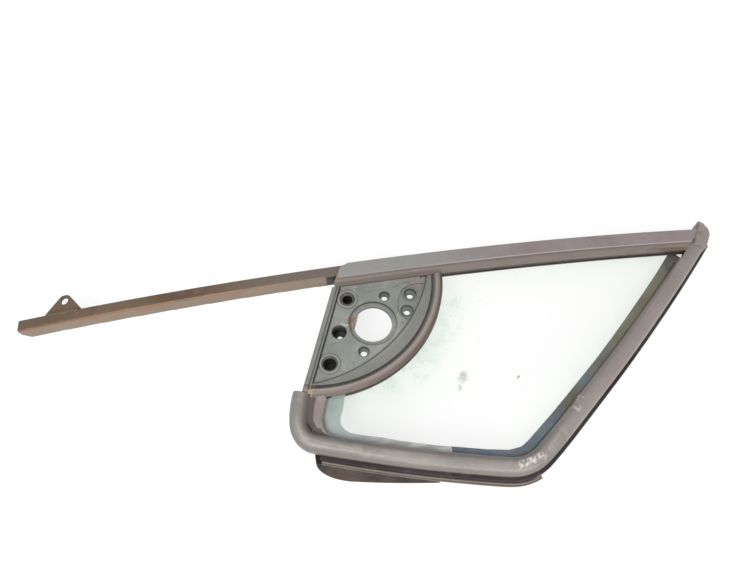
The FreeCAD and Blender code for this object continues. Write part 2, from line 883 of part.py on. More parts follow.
def make_surround(room):
    ax, ay = LIP_CENTRE
    top_y = val("trim_foot_y") - val("fit_gap")
    body = new_body("surround_band")
    r0 = BAND_INNER
    r1 = GROOVE_INNER
    r2 = GROOVE_OUTER
    r3 = LIP_RADIUS
    band = val("band_top")
    crest = val("lip_crest")
    deep = val("groove_deep")
    pitch = val("groove_pitch")
    sketch = new_sketch(body, "XZ_Plane", "band_section")
    add_ring(sketch, rounded([
        (r0, 0.0),
        (r0, band - 0.5),
        (r0 + 0.6, band),
        (r1, band + 0.3),
        (r1 + 0.3, band - deep),
        (r1 + pitch, band + 0.1),
        (r1 + pitch + 0.3, band - deep),
        (r1 + 2.0 * pitch, band + 0.1),
        (r1 + 2.0 * pitch + 0.3, band - deep),
        (r2, band - deep),
        (r2 + 0.9, crest - 1.2, 0.8),
        (r2 + 2.6, crest, 1.2),
        (r3 - 3.0, crest - 0.7, 2.0),
        (r3, crest - 3.4, 0.8),
        (r3 + 0.0, -val("under_lip")),
        (r2 - 1.0, -val("under_lip")),
        (r2 - 1.0, 0.0),
    ]))
    feature = body.newObject("PartDesign::Revolution", "band_ring")
    feature.Profile = sketch
    feature.ReferenceAxis = (sketch, ["V_Axis"])
    feature.Type = "TwoAngles"
    feature.Angle = 12.0
    feature.Angle2 = 112.0
    doc.recompute()
    body.Placement = FreeCAD.Placement(Vector(ax, ay, 0), FreeCAD.Rotation())
    doc.recompute()
    ring = body.Shape.copy()
    box = ring.BoundBox
    if box.YMax < ay + 5.0:
        raise RuntimeError("band swings the wrong way")
    x, y, angle = path_at(0.0)
    ux = math.cos(angle)
    uy = math.sin(angle)
    nx = math.sin(angle)
    ny = -math.cos(angle)
    gap = 0.2
    half = val("mould_half") + gap
    clear = val("cut_reach")

    def near(run, offset):
        return (x - ux * run + nx * offset, y - uy * run + ny * offset)

    low_y = -90.0
    member = [(val("member_step"), val("member_top")), (val("member_width"), val("member_ledge"))]
    solids = []
    start = 0.0
    for width, height in member:
        pts = member_points(start, width, top_y, low_y)
        solids.append(plan_prism(polygon_edges(pts), 0.0, height))
        start = width - 0.0
    web = solids[0].fuse(solids[1])
    inner = member_points(0.0, 400.0, top_y, low_y)
    right_side = plan_prism(polygon_edges(inner), -40.0, 40.0)
    ring = ring.common(right_side)
    plate_disc = Part.makeCylinder(PLATE_RADIUS, 80.0,
                                   Vector(PLATE_CENTRE[0], PLATE_CENTRE[1], -40.0))
    ring = ring.cut(plate_disc)
    disc = Part.makeCylinder(r3 - 0.4, 80.0, Vector(ax, ay, -40.0))
    whole = ring.fuse(web.common(disc))
    arm_room = plan_prism(polygon_edges([
        near(gap, 0.5 * clear),
        near(gap, -half),
        near(-clear, -half),
        near(-clear, 0.5 * clear),
    ]), -clear, clear)
    whole = whole.cut(arm_room)
    whole = whole.cut(room)
    feature = doc.addObject("Part::Feature", "plate_surround")
    feature.Label = "plate_surround"
    feature.Shape = whole.removeSplitter()
    return feature, body


# plate
def plate_ring(arc_radius, edge_gap, top_y):
    ax, ay = PLATE_CENTRE
    pts = member_points(val("member_width") + edge_gap, 200.0, top_y, -120.0)
    low = pts[0]
    high = pts[3]
    dx = high[0] - low[0]
    dy = high[1] - low[1]
    length = math.hypot(dx, dy)
    dx /= length
    dy /= length
    px = ax - low[0]
    py = ay - low[1]
    along = px * dx + py * dy
    away = math.sqrt(px * px + py * py - along * along)
    back = math.sqrt(arc_radius * arc_radius - away * away)
    foot = (low[0] + dx * (along - back), low[1] + dy * (along - back))
    end_x = ax + math.sqrt(arc_radius * arc_radius - (top_y - ay) ** 2)
    a1 = math.atan2(foot[1] - ay, foot[0] - ax)
    a2 = math.atan2(top_y - ay, end_x - ax)
    mid = (a1 + a2) / 2.0
    m = Vector(ax + arc_radius * math.cos(mid), ay + arc_radius * math.sin(mid), 0)
    p1 = Vector(high[0], high[1], 0)
    p2 = Vector(foot[0], foot[1], 0)
    p3 = Vector(end_x, top_y, 0)
    return [Part.LineSegment(p1, p2), turned_arc(p2, m, p3), Part.LineSegment(p3, p1)]


def make_plate():
    body = new_body("mirror_plate")
    gap = val("fit_gap")
    top_y = val("trim_foot_y") - gap
    rim = PLATE_RADIUS - gap
    thick = val("plate_thick")
    sketch = new_sketch(body, "XY_Plane", "plate_outline")
    add_ring(sketch, plate_ring(rim, gap, top_y))
    pad(body, sketch, "plate_sheet", "dims.plate_thick")
    sketch = new_sketch(body, "XY_Plane", "boss_backs")
    for name in ("boss_upper", "boss_middle", "boss_lower"):
        add_circle(sketch, name + "_x", name + "_y", "boss_back_radius")
    pad(body, sketch, "bosses", "dims.boss_back_deep", down=True)
    sketch = new_sketch(body, "XY_Plane", "screw_backs")
    for name in ("screw_a", "screw_b", "screw_c", "screw_d"):
        add_circle(sketch, name + "_x", name + "_y", "screw_back_radius")
    pad(body, sketch, "screw_pads", "dims.screw_back_deep", down=True)
    sketch = new_sketch(body, "XY_Plane", "rim_rings", "dims.plate_thick - 1")
    for name in ("boss_upper", "boss_lower"):
        add_circle(sketch, name + "_x", name + "_y", "boss_rim_radius")
    pad(body, sketch, "boss_rims", "dims.boss_rim_high + 1")
    # sunk field round the two right-hand screw holes
    sketch = new_sketch(body, "XY_Plane", "field_outline", "dims.plate_thick")
    ax, ay = PLATE_CENTRE
    reach = rim - 1.4
    e1 = Vector(ax + math.sqrt(reach * reach - (37.6 - ay) ** 2), 37.6, 0)
    e2 = Vector(ax + math.sqrt(reach * reach - (-2.6 - ay) ** 2), -2.6, 0)
    mid = (math.atan2(e1.y - ay, e1.x - ax) + math.atan2(e2.y - ay, e2.x - ax)) / 2.0
    em = Vector(ax + reach * math.cos(mid), ay + reach * math.sin(mid), 0)
    field = [e1, Vector(44.0, 37.8, 0), Vector(35.0, 33.2, 0), Vector(29.2, 22.2, 0),
             Vector(26.6, 11.4, 0), Vector(29.0, 3.4, 0), e2]
    ring = [Part.LineSegment(field[i], field[i + 1]) for i in range(6)]
    ring.append(turned_arc(e2, em, e1))
    add_ring(sketch, ring)
    add_circle(sketch, "screw_c_x", "screw_c_y", "cup_rim_radius")
    add_circle(sketch, "screw_d_x", "screw_d_y", "cup_rim_radius")
    pocket(body, sketch, "sunk_field", "dims.pocket_deep")
    # stepped mirror opening with a flat on its left
    sketch = new_sketch(body, "XY_Plane", "opening_ring", "dims.plate_thick")
    add_circle(sketch, None, None, "opening_ring_radius")
    pocket(body, sketch, "opening_step", "dims.opening_ring_deep")
    sketch = new_sketch(body, "XY_Plane", "opening_outline")
    radius = val("opening_radius")
    flat = val("opening_flat")
    face_dir = math.radians(val("member_dir_deg") + 90.0)
    spread = math.acos(flat / radius)
    p = Vector(radius * math.cos(face_dir - spread), radius * math.sin(face_dir - spread), 0)
    q = Vector(radius * math.cos(face_dir + spread), radius * math.sin(face_dir + spread), 0)
    far = Vector(-radius * math.cos(face_dir), -radius * math.sin(face_dir), 0)
    add_ring(sketch, [turned_arc(q, far, p), Part.LineSegment(p, q)])
    pocket(body, sketch, "opening")
    # bores of the bosses
    sketch = new_sketch(body, "XY_Plane", "insert_bores", "dims.plate_thick + dims.boss_rim_high")
    for name in ("boss_upper", "boss_lower"):
        index = sketch.addGeometry(Part.Circle(
            Vector(val(name + "_x"), val(name + "_y"), 0), Vector(0, 0, 1),
            val("insert_radius") + 0.05))
        hold = sketch.addConstraint(
            Sketcher.Constraint("Radius", index, val("insert_radius") + 0.05))
        sketch.setExpression("Constraints[%d]" % hold, "dims.insert_radius + 0.05")
    pocket(body, sketch, "insert_seats", "dims.insert_long + dims.boss_rim_high + 0.05")
    sketch = new_sketch(body, "XY_Plane", "middle_bore_ring", "dims.plate_thick")
    add_circle(sketch, "boss_middle_x", "boss_middle_y", "middle_bore_radius")
    pocket(body, sketch, "middle_bore", "dims.boss_bore_deep")
    sketch = new_sketch(body, "XY_Plane", "middle_through_ring")
    add_circle(sketch, "boss_middle_x", "boss_middle_y", "middle_through_radius")
    pocket(body, sketch, "middle_through")
    # screw holes with their head seats
    sketch = new_sketch(body, "XY_Plane", "screw_holes_ring")
    for name in ("screw_a", "screw_b", "screw_c", "screw_d"):
        add_circle(sketch, name + "_x", name + "_y", "screw_radius")
    pocket(body, sketch, "screw_holes")
    sketch = new_sketch(body, "XY_Plane", "head_seats_ring", "dims.plate_thick")
    for name in ("screw_a", "screw_b"):
        add_circle(sketch, name + "_x", name + "_y", "screw_head_radius")
    pocket(body, sketch, "head_seats", "dims.screw_head_deep")
    sketch = new_sketch(body, "XY_Plane", "cups_ring", "dims.plate_thick")
    for name in ("screw_c", "screw_d"):
        add_circle(sketch, name + "_x", name + "_y", "cup_radius")
    pocket(body, sketch, "cups", "dims.screw_head_deep")
    # raised strip along the channel side and small pin marks
    sketch = new_sketch(body, "XY_Plane", "strip_outline", "dims.plate_thick - 1")
    left = member_points(val("member_width") + gap + 1.4, 200.0, top_y, 41.0)
    add_ring(sketch, rounded([
        (left[0][0], 41.4, 1.0),
        (56.0, 41.4, 1.0),
        (56.0, top_y),
        (left[3][0], top_y),
    ]))
    pad(body, sketch, "top_strip", "dims.top_strip_high + 1")
    sketch = new_sketch(body, "XY_Plane", "pin_marks_ring", "dims.plate_thick")
    for x, y in ((28.4, -4.4), (6.2, -28.6), (-24.6, -39.6), (-52.6, -49.6)):
        sketch.addGeometry(Part.Circle(Vector(x, y, 0), Vector(0, 0, 1), val("pin_mark_radius")))
    pocket(body, sketch, "pin_marks", "dims.pin_mark_deep")
    return body


# inserts
def make_insert(name, boss, thread):
    body = new_body(name)
    sketch = new_sketch(body, "XZ_Plane", name + "_section")
    outer = val("insert_radius")
    inner = val(thread)
    long = val("insert_long")
    proud = val("insert_proud")
    floor = val("insert_floor")
    add_ring(sketch, rounded([
        (0.0, 0.0),
        (outer, 0.0),
        (outer, long + proud),
        (inner + 0.9, long + proud),
        (inner, long + proud - 0.9),
        (inner, floor + 3.0),
        (inner - 1.0, floor + 3.0),
        (inner - 1.0, floor),
        (0.0, floor),
    ]))
    feature = body.newObject("PartDesign::Revolution", name + "_turned")
    feature.Profile = sketch
    feature.ReferenceAxis = (sketch, ["V_Axis"])
    feature.Angle = 360.0
    doc.recompute()
    deep = val("plate_thick") - long
    body.Placement = FreeCAD.Placement(
        Vector(val(boss + "_x"), val(boss + "_y"), deep), FreeCAD.Rotation())
    return body


room_shape = glass_room()
parts = []
parts.append(make_channel())
parts.append(make_lug())
parts.append(make_pane())
parts.append(make_trim())
parts.append(make_moulding(room_shape))
parts.append(make_seal())
parts.append(make_lip())
parts.append(make_skirt())
surround, band_body = make_surround(room_shape)
parts.append(surround)
parts.append(make_plate())
parts.append(make_insert("insert_upper", "boss_upper", "upper_thread_radius"))
parts.append(make_insert("insert_lower", "boss_lower", "lower_thread_radius"))
doc.recompute()

for item in doc.Objects:
    if "Invalid" in item.State or "Error" in item.State:
        raise RuntimeError("failed object " + item.Name)
for item in parts:
    shape = item.Shape
    if shape.isNull() or not shape.isValid():
        raise RuntimeError("bad shape " + item.Label)
    if len(shape.Solids) < 1:
        raise RuntimeError("no solid in " + item.Label)

os.makedirs("parts", exist_ok=True)
for item in parts:
    item.Shape.exportStep("parts/%s.step" % item.Label)
    box = item.Shape.BoundBox
    print("%-18s solids %d vol %9.0f  x %7.1f %7.1f  y %7.1f %7.1f  z %6.1f %6.1f" % (
        item.Label, len(item.Shape.Solids), item.Shape.Volume,
        box.XMin, box.XMax, box.YMin, box.YMax, box.ZMin, box.ZMax))
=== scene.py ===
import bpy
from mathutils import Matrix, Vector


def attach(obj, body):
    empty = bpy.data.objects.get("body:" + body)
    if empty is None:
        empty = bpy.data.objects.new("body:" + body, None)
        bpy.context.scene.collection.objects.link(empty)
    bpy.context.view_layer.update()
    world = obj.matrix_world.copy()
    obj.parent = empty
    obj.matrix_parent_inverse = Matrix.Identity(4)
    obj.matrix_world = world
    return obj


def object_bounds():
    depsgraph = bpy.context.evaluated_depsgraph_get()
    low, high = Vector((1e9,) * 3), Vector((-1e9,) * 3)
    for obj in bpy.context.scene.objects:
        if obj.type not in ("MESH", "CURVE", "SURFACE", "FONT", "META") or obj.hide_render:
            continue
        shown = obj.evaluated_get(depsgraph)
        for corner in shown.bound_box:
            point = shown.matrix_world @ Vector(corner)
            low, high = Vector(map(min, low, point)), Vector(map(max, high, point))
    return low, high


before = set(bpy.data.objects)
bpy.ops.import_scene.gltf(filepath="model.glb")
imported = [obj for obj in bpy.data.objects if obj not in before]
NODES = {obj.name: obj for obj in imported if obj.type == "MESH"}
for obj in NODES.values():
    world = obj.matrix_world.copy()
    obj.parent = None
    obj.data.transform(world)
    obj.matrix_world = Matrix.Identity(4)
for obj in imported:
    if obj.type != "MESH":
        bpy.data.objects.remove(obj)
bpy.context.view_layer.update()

import math

import bpy
from mathutils import Matrix, Vector

# lengths are in mm, in the part's frame
MM = 0.001
CURVE_RADIUS = 2620.0
GLASS_FACE = 5.07
GLASS_BACK = 0.965
PLATE_FACE = 4.98
LIP_CENTRE = (-47.0, 59.0)
PLATE_CENTRE = (-73.8, 90.3)
MEMBER_TOP = (-34.9, 44.8)
MEMBER_ACROSS = (0.9323, -0.3616)
BOSSES = ((-21.6, 30.2), (-47.5, -36.6))


# the pane and its mouldings lie on a cylinder along Y
def sag(x):
    return math.sqrt(CURVE_RADIUS * CURVE_RADIUS - x * x) - CURVE_RADIUS


# centre line of the moulding in plan: radius, turn in degrees
PATH_START = (-76.7, -61.5, 248.8)
PATH_TURNS = [(79.0, 21.2), (20.0, 70.5), (1300.0, 7.6), (42.7, 48.1), (3080.0, 6.3)]


def build_path():
    x, y, head = PATH_START
    head = math.radians(head)
    run = 0.0
    arcs = []
    for radius, turn in PATH_TURNS:
        turn = math.radians(turn)
        cx = x - radius * math.sin(head)
        cy = y + radius * math.cos(head)
        arcs.append((run, cx, cy, radius, head))
        head += turn
        x = cx + radius * math.sin(head)
        y = cy - radius * math.cos(head)
        run += radius * turn
    return arcs, run


ARCS, LONG = build_path()


def path_at(run, offset=0.0):
    pick = ARCS[0]
    for arc in ARCS:
        if run >= arc[0]:
            pick = arc
    start, cx, cy, radius, head = pick
    angle = head + (run - start) / radius
    reach = radius + offset
    return cx + reach * math.sin(angle), cy - reach * math.cos(angle)


# shader graphs
def lin(r, g, b):
    out = []
    for v in (r, g, b):
        v = v / 255.0
        out.append(v / 12.92 if v <= 0.04045 else ((v + 0.055) / 1.055) ** 2.4)
    return (out[0], out[1], out[2], 1.0)


class Graph:
    def __init__(self, name):
        self.mat = bpy.data.materials.new(name)
        self.mat.use_nodes = True
        self.tree = self.mat.node_tree
        self.tree.nodes.clear()
        self.out = self.tree.nodes.new("ShaderNodeOutputMaterial")
        self.coord = self.tree.nodes.new("ShaderNodeTexCoord").outputs["Object"]
        split = self.tree.nodes.new("ShaderNodeSeparateXYZ")
        self.tree.links.new(self.coord, split.inputs[0])
        # plan position, and height over the cylinder
        self.x = self.math("MULTIPLY", split.outputs[0], 1000.0)
        self.y = self.math("MULTIPLY", split.outputs[1], 1000.0)
        level = self.math("MULTIPLY", split.outputs[2], 1000.0)
        square = self.math("MULTIPLY", self.x, self.x)
        self.h = self.math("ADD", level, self.math("MULTIPLY", square, 0.5 / CURVE_RADIUS))

    def feed(self, socket, value):
        if value is None:
            return
        if isinstance(value, bpy.types.NodeSocket):
            self.tree.links.new(value, socket)
        else:
            socket.default_value = value

    def math(self, op, a, b=None, clamp=False):
        node = self.tree.nodes.new("ShaderNodeMath")
        node.operation = op
        node.use_clamp = clamp
        self.feed(node.inputs[0], a)
        self.feed(node.inputs[1], b)
        return node.outputs[0]

    def noise(self, scale, detail=4.0, stretch=None, rough=0.55):
        vec = self.coord
        if stretch:
            mapping = self.tree.nodes.new("ShaderNodeMapping")
            mapping.inputs["Scale"].default_value = stretch
            self.tree.links.new(self.coord, mapping.inputs["Vector"])
            vec = mapping.outputs["Vector"]
        node = self.tree.nodes.new("ShaderNodeTexNoise")
        node.inputs["Scale"].default_value = scale
        node.inputs["Detail"].default_value = detail
        node.inputs["Roughness"].default_value = rough
        self.tree.links.new(vec, node.inputs["Vector"])
        return node.outputs["Fac"]

    def span(self, value, low, high, out_low=0.0, out_high=1.0):
        node = self.tree.nodes.new("ShaderNodeMapRange")
        node.clamp = True
        node.interpolation_type = "SMOOTHSTEP"
        self.feed(node.inputs["Value"], value)
        node.inputs["From Min"].default_value = low
        node.inputs["From Max"].default_value = high
        node.inputs["To Min"].default_value = out_low
        node.inputs["To Max"].default_value = out_high
        return node.outputs["Result"]

    def band(self, value, centre, half, soft):
        away = self.math("ABSOLUTE", self.math("SUBTRACT", value, centre))
        return self.span(away, half, half + soft, 1.0, 0.0)

    def near(self, x, y, radius, soft):
        dx = self.math("SUBTRACT", self.x, x)
        dy = self.math("SUBTRACT", self.y, y)
        total = self.math("ADD", self.math("MULTIPLY", dx, dx), self.math("MULTIPLY", dy, dy))
        return self.span(self.math("SQRT", total), radius, radius + soft, 1.0, 0.0)

    def ring(self, x, y):
        dx = self.math("SUBTRACT", self.x, x)
        dy = self.math("SUBTRACT", self.y, y)
        total = self.math("ADD", self.math("MULTIPLY", dx, dx), self.math("MULTIPLY", dy, dy))
        return self.math("SQRT", total)

    def slope(self, x, y, ax, ay):
        # distance from the line through (x, y) along the unit direction (ax, ay)
        dx = self.math("MULTIPLY", self.math("SUBTRACT", self.x, x), ax)
        dy = self.math("MULTIPLY", self.math("SUBTRACT", self.y, y), ay)
        return self.math("ADD", dx, dy)

    def walls(self):
        split = self.tree.nodes.new("ShaderNodeSeparateXYZ")
        source = self.tree.nodes.new("ShaderNodeNewGeometry").outputs["True Normal"]
        self.tree.links.new(source, split.inputs[0])
        return self.span(self.math("ABSOLUTE", split.outputs[2]), 0.7, 0.3)

    def path_offset(self):
        # distance from the moulding's centre line, negative towards the pane
        value = None
        for start, cx, cy, radius, head in ARCS:
            away = self.math("SUBTRACT", self.ring(cx, cy), radius)
            if value is None:
                value = away
                continue
            px, py = path_at(start)
            side = self.slope(px, py, math.cos(head), math.sin(head))
            pick = self.span(side, -1.5, 1.5)
            keep = self.math("MULTIPLY", value, self.math("SUBTRACT", 1.0, pick))
            value = self.math("ADD", keep, self.math("MULTIPLY", away, pick))
        return value

    def both(self, a, b):
        return self.math("MULTIPLY", a, b)

    def mix(self, factor, a, b):
        node = self.tree.nodes.new("ShaderNodeMix")
        node.data_type = "RGBA"
        self.feed(node.inputs["Factor"], factor)
        self.feed(node.inputs[6], a)
        self.feed(node.inputs[7], b)
        return node.outputs[2]

    def bump(self, height, strength, distance):
        node = self.tree.nodes.new("ShaderNodeBump")
        node.inputs["Strength"].default_value = strength
        node.inputs["Distance"].default_value = distance
        self.feed(node.inputs["Height"], height)
        return node.outputs["Normal"]

    def surface(self, color, rough, normal=None, level=0.5):
        node = self.tree.nodes.new("ShaderNodeBsdfPrincipled")
        self.feed(node.inputs["Base Color"], color)
        self.feed(node.inputs["Roughness"], rough)
        node.inputs["Specular IOR Level"].default_value = level
        if normal is not None:
            self.tree.links.new(normal, node.inputs["Normal"])
        self.tree.links.new(node.outputs[0], self.out.inputs["Surface"])


# mottled plastic or paint in three tones, with a fine grain
def plastic(name, dark, mid, pale, rough=0.42, level=0.5, extra=None):
    g = Graph(name)
    patch = g.noise(14.0, 6.0)
    fine = g.noise(120.0, 5.0)
    color = g.mix(g.span(patch, 0.38, 0.62), lin(*dark), lin(*mid))
    color = g.mix(g.span(fine, 0.52, 0.72, 0.0, 0.5), color, lin(*pale))
    if extra:
        color = extra(g, color)
    roughness = g.span(g.noise(60.0, 5.0), 0.3, 0.7, rough - 0.08, rough + 0.12)
    normal = g.bump(g.noise(900.0, 3.0), 0.12, 0.0004)
    g.surface(color, roughness, normal, level=level)
    return g.mat


def set_material(name, mat):
    obj = NODES[name]
    obj.data.materials.clear()
    obj.data.materials.append(mat)


def smooth(name, angle):
    mesh = NODES[name].data
    mesh.shade_smooth()
    mesh.set_sharp_from_angle(angle=math.radians(angle))


# channel: brown paint, greyer towards the plate, its front web painted lighter as painted light,
# and rubbed orange along its bend, which partly serves as a painted highlight of the bend
def channel_extra(g, color):
    toward = g.span(g.x, -170.0, -50.0)
    color = g.mix(toward, color, g.mix(g.noise(30.0), lin(110, 100, 92), lin(124, 114, 105)))
    # front web painted lighter: painted light from the front
    web = g.both(g.span(g.y, 53.3, 52.7), g.span(g.h, 15.2, 14.0))
    color = g.mix(g.math("MULTIPLY", web, 0.85), color,
                  g.mix(g.noise(26.0), lin(138, 120, 103), lin(154, 136, 118)))
    # rubbed orange paint along the bend, partly a painted highlight of the bend
    edge = g.both(g.span(g.y, 54.6, 53.0), g.span(g.h, 13.8, 14.8))
    rub_and_highlight = g.both(edge, g.span(g.noise(40.0, 6.0, (1.0, 4.0, 4.0)), 0.3, 0.5))
    rub_and_highlight = g.both(rub_and_highlight, g.span(g.x, -60.0, -150.0, 0.25, 0.8))
    color = g.mix(rub_and_highlight, color, lin(160, 108, 66))
    bright = g.both(g.span(g.x, -250.0, -330.0), g.span(g.h, 14.6, 15.4))
    color = g.mix(g.math("MULTIPLY", bright, 0.5), color, lin(104, 84, 68))
    shut = g.both(g.span(g.x, -42.0, -38.5), g.span(g.y, 54.2, 53.2))
    color = g.mix(shut, color, lin(44, 36, 30))
    streak = g.noise(30.0, 6.0, (0.25, 6.0, 6.0))
    color = g.mix(g.span(streak, 0.55, 0.75, 0.0, 0.5), color, lin(84, 66, 52))
    scratch = g.noise(260.0, 4.0, (0.12, 3.0, 3.0))
    return g.mix(g.span(scratch, 0.66, 0.74, 0.0, 0.5), color, lin(178, 158, 138))


channel_mat = plastic("channel_paint", (100, 80, 62), (116, 96, 77), (134, 114, 95),
                      rough=0.36, extra=channel_extra)


# trim: greyer on its left, a painted highlight along its ridge, a brown flank below it darkened
# as painted shade, and painted shade at the foot of its wall
def trim_extra(g, color):
    left = g.span(g.x, 20.0, 220.0)
    color = g.mix(left, g.mix(g.noise(25.0), lin(146, 145, 141), lin(158, 157, 153)), color)
    right = g.span(g.x, 40.0, 130.0, 0.35, 1.0)
    # flank below the ridge painted darker brown as painted shade
    flank_shade = g.span(g.y, 49.8, 49.0)
    color = g.mix(g.both(flank_shade, 0.85), color,
                  g.mix(g.noise(34.0, 5.0), lin(112, 99, 91), lin(130, 116, 109)))
    # painted highlight along the ridge
    ridge_highlight = g.both(g.band(g.y, 50.3, 0.35, 0.6), right)
    color = g.mix(g.math("MULTIPLY", ridge_highlight, 0.8), color, lin(190, 180, 174))
    # painted shade at the foot of the wall
    foot_shade = g.both(g.span(g.y, 46.9, 45.6), g.span(g.h, 8.6, 6.0))
    color = g.mix(g.math("MULTIPLY", foot_shade, 0.85), color, lin(66, 55, 50))
    edge = g.both(g.band(g.x, -25.5, 0.5, 0.6), g.span(g.y, 48.0, 50.0))
    color = g.mix(g.math("MULTIPLY", edge, 0.6), color, lin(182, 170, 158))
    crack = g.slope(250.0, 63.2, 0.12, 0.99)
    crack = g.both(g.band(g.math("ADD", crack, g.span(g.noise(90.0), 0.3, 0.7, -1.0, 1.0)), 0.0,
                          0.12, 0.3), g.band(g.x, 258.0, 14.0, 4.0))
    color = g.mix(g.math("MULTIPLY", crack, 0.6), color, lin(92, 80, 76))
    start = g.both(g.span(g.x, -24.0, -28.0), g.span(g.noise(90.0), 0.2, 0.5))
    color = g.mix(g.both(start, 0.7), color, lin(134, 124, 114))
    scratch = g.noise(300.0, 4.0, (0.1, 2.0, 2.0))
    return g.mix(g.span(scratch, 0.66, 0.75, 0.0, 0.35), color, lin(186, 176, 172))


trim_mat = plastic("trim_grey", (143, 129, 128), (154, 142, 141), (165, 154, 152),
                   rough=0.36, extra=trim_extra)


# moulding: flanks darkened as painted shade, a painted highlight along the crown of the sill,
# and scuffs
def mould_extra(g, color):
    off = g.path_offset()
    sill = g.both(g.span(g.x, 175.0, 120.0), g.span(g.y, -78.0, -92.0))
    # painted shade on the tube's flanks: both sides on the sill, the pane side on the left arm
    lower = g.both(sill, g.span(off, 3.5, 8.0))
    color = g.mix(g.math("MULTIPLY", lower, 0.75), color, lin(116, 107, 101))
    upper = g.both(sill, g.span(off, -1.5, -6.5))
    color = g.mix(g.math("MULTIPLY", upper, 0.6), color, lin(122, 112, 105))
    side = g.both(g.both(g.span(g.x, -52.0, -60.0), g.span(g.y, -108.0, -98.0)),
                  g.span(off, -1.5, -6.0))
    color = g.mix(g.math("MULTIPLY", side, 0.8), color, lin(110, 102, 95))
    # broken painted highlight along the sill's crown
    crown_highlight = g.both(g.band(g.math("ADD", off, g.span(g.noise(26.0), 0.3, 0.7, -1.2, 1.2)),
                          0.6, 0.5, 1.8), sill)
    crown_highlight = g.both(crown_highlight, g.span(g.noise(60.0, 6.0, (0.6, 1.0, 1.0)), 0.42, 0.62))
    color = g.mix(g.math("MULTIPLY", crown_highlight, 0.5), color, lin(192, 184, 174))
    # painted shade along the tube's edge against the pane
    inner_edge_shade = g.both(g.span(off, -7.3, -7.8), g.span(g.x, 60.0, 110.0))
    color = g.mix(g.math("MULTIPLY", inner_edge_shade, 0.85), color, lin(62, 52, 50))
    # scuffs on the crown of the lower right corner and on the arm
    for x, y, r, t in ((116.0, -154.5, 15.0, 0.22), (176.0, -109.0, 11.0, 0.95)):
        dx = g.math("SUBTRACT", g.x, x)
        dy = g.math("SUBTRACT", g.y, y)
        along = g.math("ADD", g.math("MULTIPLY", dx, math.cos(t)),
                       g.math("MULTIPLY", dy, math.sin(t)))
        across = g.math("SUBTRACT", g.math("MULTIPLY", dy, math.cos(t)),
                        g.math("MULTIPLY", dx, math.sin(t)))
        place = g.both(g.band(along, 0.0, r * 0.6, r * 0.5), g.band(across, 0.0, 1.0, 3.6))
        scuff = g.both(place, g.span(g.noise(300.0, 7.0, (1.0, 1.0, 1.0)), 0.44, 0.6))
        color = g.mix(scuff, color, lin(236, 226, 224))
    worn = g.both(g.near(392.0, 76.0, 3.0, 8.0), g.span(g.noise(200.0), 0.4, 0.6))
    color = g.mix(worn, color, lin(196, 180, 166))
    mark = g.both(g.near(174.0, -101.5, 1.0, 3.4), g.span(g.noise(260.0), 0.42, 0.55))
    color = g.mix(mark, color, lin(70, 60, 58))
    spot = g.near(384.0, 64.0, 1.6, 3.6)
    color = g.mix(g.math("MULTIPLY", spot, 0.75), color, lin(108, 82, 66))
    arm = g.span(g.x, 150.0, 190.0)
    color = g.mix(g.math("MULTIPLY", arm, 0.6), color,
                  g.mix(g.noise(20.0), lin(146, 134, 130), lin(162, 150, 147)))
    scratch = g.noise(240.0, 5.0, (1.0, 1.0, 1.0))
    return g.mix(g.span(scratch, 0.68, 0.76, 0.0, 0.4), color, lin(196, 186, 180))


mould_mat = plastic("moulding_grey", (142, 136, 131), (156, 150, 145), (169, 163, 156),
                    rough=0.33, extra=mould_extra)
seal_mat = plastic("seal_black", (42, 35, 36), (58, 50, 50), (86, 76, 74), rough=0.5, level=0.35)


# lip: lengthwise ridges, drawn as stripes of painted highlight and painted shade
def lip_extra(g, color):
    wave = g.math("SINE", g.math("MULTIPLY", g.path_offset(), 3.3))
    color = g.mix(g.span(wave, 0.1, 0.9, 0.0, 0.7), color, lin(158, 149, 140))
    return g.mix(g.span(wave, -0.2, -0.9, 0.0, 0.75), color, lin(72, 63, 57))


lip_mat = plastic("lip_taupe", (86, 77, 70), (108, 99, 91), (124, 115, 106), rough=0.5,
                  extra=lip_extra)


# skirt: a lighter brown patch
def skirt_extra(g, color):
    glow = g.both(g.near(-34.0, -140.0, 8.0, 30.0), g.span(g.noise(50.0), 0.3, 0.6))
    return g.mix(g.math("MULTIPLY", glow, 0.4), color, lin(112, 80, 64))


skirt_mat = plastic("skirt_brown", (40, 31, 27), (54, 42, 36), (66, 53, 46), rough=0.5,
                    level=0.2, extra=skirt_extra)


